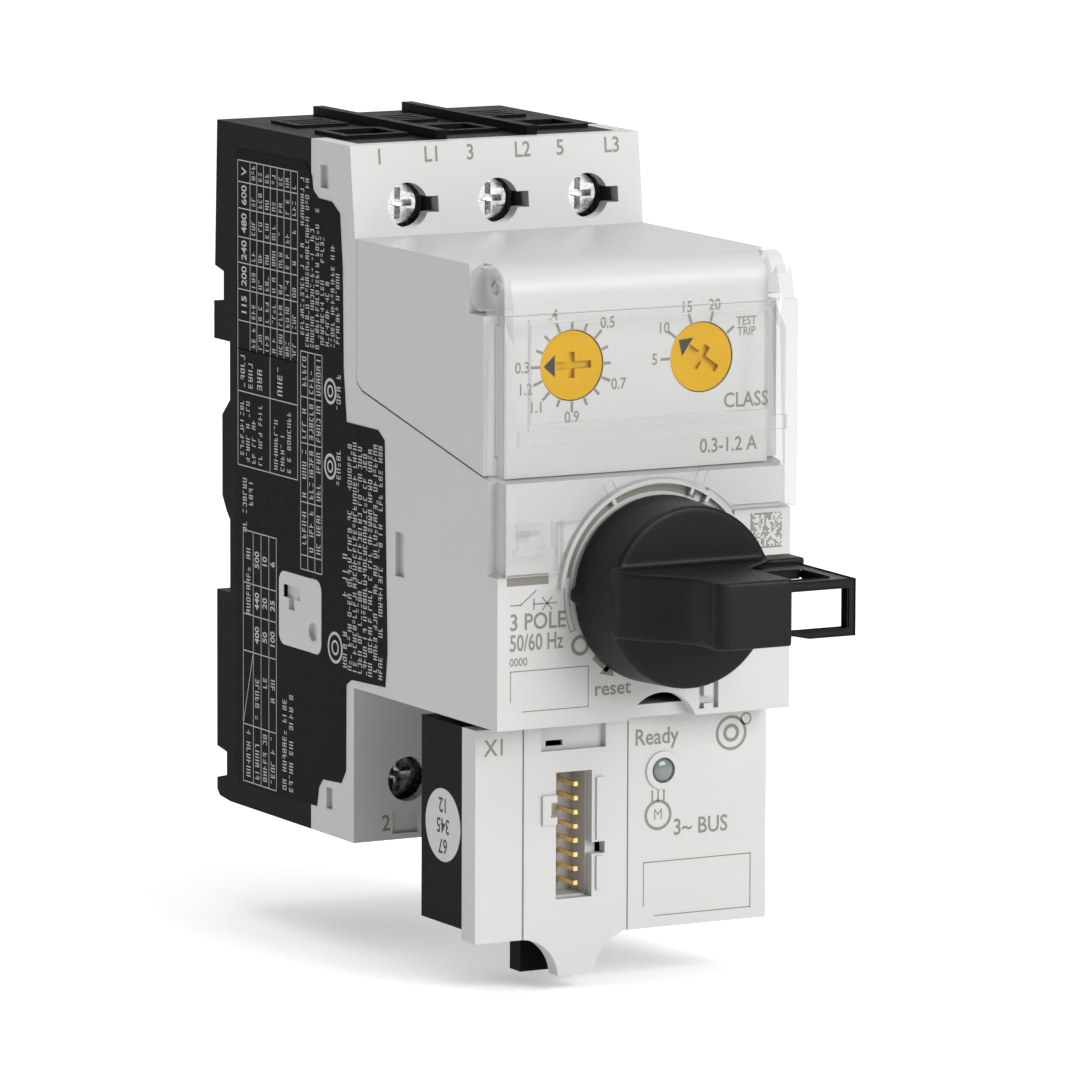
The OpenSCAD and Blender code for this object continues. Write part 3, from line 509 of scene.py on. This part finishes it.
def print_front():
    """Handle ring, circuit symbols, writing field and the square code."""
    rng = random.Random(7)
    ink = front_ink("front_marks", FRONT_Y)
    # Handle ring: filled on its long side, outlined on its short one, with I and O at its ends
    r0, r1, pen = 13.0, 13.9, 0.14
    outlined, filled, over = -22, 9.4, 117
    ink.arc(*KNOB, r0 + 0.05, r1 - 0.05, filled, over)
    ink.arc(*KNOB, r0, r0 + pen, outlined, filled)
    ink.arc(*KNOB, r1 - pen, r1, outlined, filled)
    tick(ink, KNOB, r0, r1, outlined, pen)
    tick(ink, KNOB, r0, 15.0, 121.8, 0.5)
    ink.ring(*polar(*KNOB, 13.35, -31.8), 1.15, 0.5)
    ink.rect(-21, -14.7, -6.4, -4.9)
    # Switch contact and breaker cross
    ink.line(-20.4, -9.0, -18.9, -9.0)
    ink.line(-18.9, -9.0, -16.6, -7.2)
    ink.line(-16.9, -9.0, -13.5, -9.0)
    ink.line(-15.6, -9.8, -14.2, -8.2)
    ink.line(-15.6, -8.2, -14.2, -9.8)
    ink.line(-16.9, -9.7, -16.9, -8.3)
    margin = -20.6
    ink.text("3 POLE", margin, -11.4, 2.2, align="LEFT")
    ink.text("50/60 Hz", margin, -14.2, 2.2, align="LEFT", narrow=0.7)
    ink.text("0000", margin, -16.7, 1.1, align="LEFT")
    open_box(ink, -20.4, -8.6, -23.4, -17.9, 0.14)
    ink.text("reset", -4.9, -21.2, 1.9, narrow=1.0)
    ink.line(-7.4, -17.0, -5.9, -18.4, 0.9)
    ink.shape([(-6.9, -19.1), (-4.7, -19.6), (-5.2, -17.4)])
    # Square code: two solid sides, two dashed ones, and random cells between them
    cells, pitch, cell = 18, 0.27, 0.27 * 0.93
    for i in range(cells):
        for j in range(cells):
            solid = i == 0 or j == 0
            dashed = (i == cells - 1 and j % 2 == 0) or (j == cells - 1 and i % 2 == 0)
            if solid or dashed or rng.random() < 0.45:
                u, v = 16.2 + i * pitch, -3.8 + j * pitch
                ink.rect(u, u + cell, v, v + cell)
    ink.build(INK_TAUPE)


def print_module():
    """Words, writing field and plain symbols on the module."""
    face_setback = 0.4
    ink = front_ink("module_marks", low("module_front_shell", 1) + face_setback)
    ink.text("X1", -19.4, -29.2, 2.2)
    ink.text("Ready", 5.3, -29.5, 2.2)
    # Plain rings in the upper corner
    ink.ring(16.9, -29.8, 2.2, 0.42)
    ink.ring(19.2, -28.0, 0.75, 0.24)
    ink.ring(16.9, -29.8, 1.0, 0.5)
    open_box(ink, 3.4, 20, -54, -46.6, 0.16)
    # Motor symbol: a circle under three supply lines
    motor = (5.6, -40.2)
    ink.ring(*motor, 1.9, 0.42)
    for x in (4.7, 5.6, 6.5):
        ink.line(x, -38.2, x, -36.9, 0.26)
    ink.text("M", *motor, 1.5, weight=0)
    ink.text("3~ BUS", 12.2, -42.2, 2.2)
    ink.build(INK_TAUPE)


# Width of a table's ruled lines, in millimetres
RULE = 0.13


def grid(ink, us, vs):
    """Ruled table; us and vs are the places of its lines."""
    for u in us:
        ink.line(u, vs[0], u, vs[-1], RULE)
    for v in vs:
        ink.line(us[0], v, us[-1], v, RULE)


def steps(first, pitch, count):
    return [first + pitch * i for i in range(count)]


def print_label():
    """Rating tables and small type on the label; the type reads upwards."""
    rng = random.Random(21)
    ink = side_ink("label_print", SIDE_X)
    # Tall table with the supply voltages in its first column
    columns = [2.7, 6.5] + steps(8.57, 2.07, 7)
    rows = [17.1, 21.1, 25.5, 29.2, 32.8, 36.8, 40.5, 43.5]
    grid(ink, columns, rows)
    grid(ink, [2.7, 12.6, 21], [0.8, 11.2, 17.1])
    for words, v in (("115", 23.3), ("200", 27.4), ("240", 31), ("480", 34.8), ("600", 38.7),
                     ("V", 42)):
        ink.text(words, 4.7, v, 1.5, turn=90)
    for left, right in zip(columns[1:], columns[2:]):
        for v0, v1 in zip(rows, rows[1:]):
            length = v1 - v0 - 1.4 - rng.random()
            ink.fake_text((left + right) / 2, v0 + 0.5, length, 1.05, rng)
    for u, length, height in ((4.2, 4, 1.3), (6.6, 3, 1.3), (9.4, 3.6, 1.5), (15.6, 3.6, 1.5)):
        ink.fake_text(u, 11.8, length, height, rng)
    for u, length in ((4, 8), (5.8, 8.6), (7.6, 6), (9.6, 8), (14.4, 7), (16.4, 5), (18.4, 8)):
        ink.fake_text(u, 1.4, length, 1.1, rng)
    # Notes beside it
    for u, v, top in ((22.4, 19.6, 43), (23.9, 19.6, 42.6), (25.4, 19.6, 36), (26.9, 19.6, 38.6),
                      (28.4, 19.6, 36.5), (29.9, 19.6, 30), (31.5, 19.6, 34), (33, 21, 30.5)):
        ink.fake_text(u, v, top - v, 1.05, rng)
    # Fuse table
    grid(ink, steps(21.9, 2.15, 4), [-11.4, -9.4, -2, 6.2, 12.6, 18.9])
    for u in steps(22.97, 2.15, 3):
        for v, length in ((-8.8, 5.6), (-1.4, 6.4), (6.8, 4.8), (13.2, 4.6)):
            ink.fake_text(u, v, length, 1.2, rng)
    # Plain ring marks with a dash beside each
    for u, v, r in ((30.8, 14.3, 1.6), (30.8, 3.9, 1.6), (32.3, -21, 2.0)):
        ink.ring(u, v, r, 0.4)
        ink.ring(u, v, r * 0.45, 0.3)
        ink.fake_text(u + r + 0.9, v - 2.4, 4.6, 1.2, rng)
    # Block of small type at the front
    for u in steps(36.6, 1.52, 7):
        ink.fake_text(u, -23.6, 32.4 - 2 * rng.random(), 1.15, rng)
    ink.fake_text(35.2, -13.5, 6.5, 1.3, rng)
    # Two short lines under the tall table
    ink.fake_text(4.8, -8.5, 7.2, 1.2, rng)
    ink.fake_text(6.7, -4.6, 3.4, 1.2, rng)
    # Breaking capacity table
    across = [4.3, 7.4, 9.8, 12.2, 14.5]
    up = [-43.7, -35.6, -25.2, -20, -15.6, -8.2]
    grid(ink, across, up)
    ink.line(7.4, -25.2, 4.3, -35.6, RULE)
    for v, words in ((-22.6, ("400", "50", "100")), (-17.8, ("440", "20", "25")),
                     (-12, ("500", "10", "6"))):
        for u, word in zip((8.6, 11, 13.4), words):
            ink.text(word, u, v, 1.3, turn=90)
    for u, v, length in ((5.9, -43, 6.8), (8.6, -43, 5), (11, -43, 6.4), (13.4, -43, 6.6),
                         (5.9, -20, 9), (8.6, -34.6, 6), (11, -31.5, 3), (13.4, -31.5, 3),
                         (17, -43.2, 12.4), (19, -43.2, 13.4)):
        ink.fake_text(u, v, length, 1.2, rng)
    ink.build(INK_WHITE)


def round_label_window():
    """Fill the corners of the label's window, which is round like the port cover in it."""
    corners = side_ink("label_corners", SIDE_X)
    room, r = 0.1, 1.6
    u0, u1 = -high("side_port", 1) - room, room - low("side_port", 1)
    v0, v1 = low("side_port", 2) - room, high("side_port", 2) + room
    for u, v, first in ((u0, v1, 0), (u1, v1, 90), (u1, v0, 180), (u0, v0, 270)):
        cu, cv = u + (r if u == u0 else -r), v + (r if v == v0 else -r)
        corners.shape([(u, v)] + [polar(cu, cv, r, clock) for clock in steps(first, 15, 7)])
    corners.build(MATERIALS["label_black"])


def sticker():
    """Pale round sticker with upturned numbers on the module's left side."""
    wall = low("module_rear_shell", 0)
    centre_u, centre_v, radius, row = 63.6, -40.8, 5, 2.8
    disc = side_ink("sticker", wall)
    disc.shape([polar(centre_u, centre_v, radius, clock) for clock in range(360, 0, -6)])
    disc.build(MATERIALS["grey_plastic"])
    numbers = side_ink("sticker_print", wall - INK_PROUD)
    for v, words in ((centre_v + row, "12"), (centre_v, "345"), (centre_v - row, "67")):
        numbers.text(words, centre_u, v, 2, turn=180)
    numbers.build(INK_DARK)


def status_dome():
    """Smoke-coloured dome in the mouth of the status window."""
    x, z = middle("status_lens", 0), middle("status_lens", 2)
    back = low("status_lens", 1) - 0.02
    bm = bmesh.new()
    # Profile as (radius, distance in front of the back): a rim, then the dome on it
    rim, foot, rise, dome = 1.72, 1.5, 0.16, 0.5
    profile = [(rim, 0), (rim, 0.12), (foot, rise)]
    profile += [(foot * math.cos(t), rise + dome * math.sin(t)) for t in steps(0.15, 0.17, 9)]
    count = 40
    turns = [math.tau * i / count for i in range(count)]
    rings = [[bm.verts.new(mm(x + r * math.cos(t), back - depth, z + r * math.sin(t))) for t in turns]
             for r, depth in profile]
    for one, two in zip(rings, rings[1:]):
        for i in range(count):
            j = (i + 1) % count
            bm.faces.new((one[i], one[j], two[j], two[i]))
    bm.faces.new(rings[0])
    bm.faces.new(rings[-1])
    bmesh.ops.recalc_face_normals(bm, faces=bm.faces)
    mesh = bpy.data.meshes.new("status_dome")
    bm.to_mesh(mesh)
    bm.free()
    for poly in mesh.polygons:
        poly.use_smooth = len(poly.vertices) == 4
    mesh.materials.append(LENS)
    obj = add_object("status_dome", mesh)
    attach(obj, "housing")


print_terminals()
print_dials()
print_pointers()
print_front()
print_module()
print_label()
round_label_window()
sticker()
status_dome()


# ---------- floor and light ----------

def add_floor():
    """Pale floor that sweeps up behind the object."""
    floor_z = lo[2] - 0.002
    near, bend, radius, top, half = -2.5, 0.9, 0.5, 3, 4
    count = 12
    turns = [math.radians(90 * i / count) for i in range(count + 1)]
    sweep = [(bend + radius * math.sin(a), floor_z + radius * (1 - math.cos(a))) for a in turns]
    points = [(near, floor_z)] + sweep + [(bend + radius, top)]
    mesh = bpy.data.meshes.new("floor")
    verts = [(-half, y, z) for y, z in points] + [(half, y, z) for y, z in points]
    n = len(points)
    faces = [(i, i + n, i + n + 1, i + 1) for i in range(n - 1)]
    mesh.from_pydata(verts, [], faces)
    for poly in mesh.polygons:
        poly.use_smooth = True
    obj = add_object("floor", mesh)
    mat, tree, shader = new_material("floor_white")
    soft = noise(tree, 4, 2)
    tone = ramp(tree, soft.outputs["Fac"], grey(0.86), grey(0.88))
    tree.links.new(tone.outputs["Color"], shader.inputs["Base Color"])
    shader.inputs["Roughness"].default_value = 0.7
    shader.inputs["Specular IOR Level"].default_value = 0.1
    shader.inputs["Emission Color"].default_value = (1, 1, 1, 1)
    shader.inputs["Emission Strength"].default_value = 0.35
    mesh.materials.append(mat)
    obj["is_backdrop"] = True


def add_area(name, place, target, size, power):
    data = bpy.data.lights.new(name, "AREA")
    data.shape = "RECTANGLE"
    data.size = size[0]
    data.size_y = size[1]
    data.energy = power
    obj = add_object(name, data)
    obj.location = place
    aim = Vector(target) - Vector(place)
    obj.rotation_euler = aim.to_track_quat("-Z", "Y").to_euler()


def add_lights():
    world = bpy.data.worlds.new("studio")
    bpy.context.scene.world = world
    world.use_nodes = True
    back = world.node_tree.nodes["Background"]
    back.inputs["Color"].default_value = (1, 1, 1, 1)
    back.inputs["Strength"].default_value = 0.25
    target = (0, -0.03, 0)
    add_area("key", (0.45, -1.25, 0.6), target, (0.8, 0.8), 20)
    add_area("top", (-0.1, -0.1, 1.3), target, (1.2, 1.2), 9)


add_floor()
add_lights()

bpy.context.scene.view_settings.view_transform = "Standard"


# ---------- bounds of the finished scene ---

lo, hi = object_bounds()
